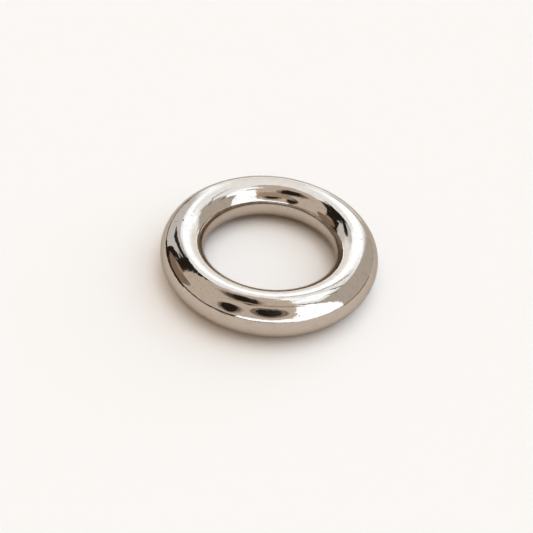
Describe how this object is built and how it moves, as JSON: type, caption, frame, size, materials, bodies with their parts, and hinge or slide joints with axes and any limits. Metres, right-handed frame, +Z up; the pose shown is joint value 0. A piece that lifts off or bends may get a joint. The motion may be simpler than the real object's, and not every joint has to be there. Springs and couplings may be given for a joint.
{
  "type": "metal o-ring",
  "caption": "Solid polished metal ring of round section, whose round eye joins a strap, cord or hook to a bag, belt or harness.",
  "frame": {"origin": "on the ring's axis, level with the lowest line of the ring as it lies flat", "axes": "+Z up along the ring's axis; +X and +Y lie in the plane of the ring, which is round, so either may point anywhere"},
  "size_m": [0.0318, 0.0318, 0.0063],
  "materials": {
    "nickel": "steel with mirror-polished nickel plating, warm silver, with fine pits and faint polishing waves"
  },
  "bodies": {
    "root": {"ring": "nickel"}
  },
  "joints": []
}
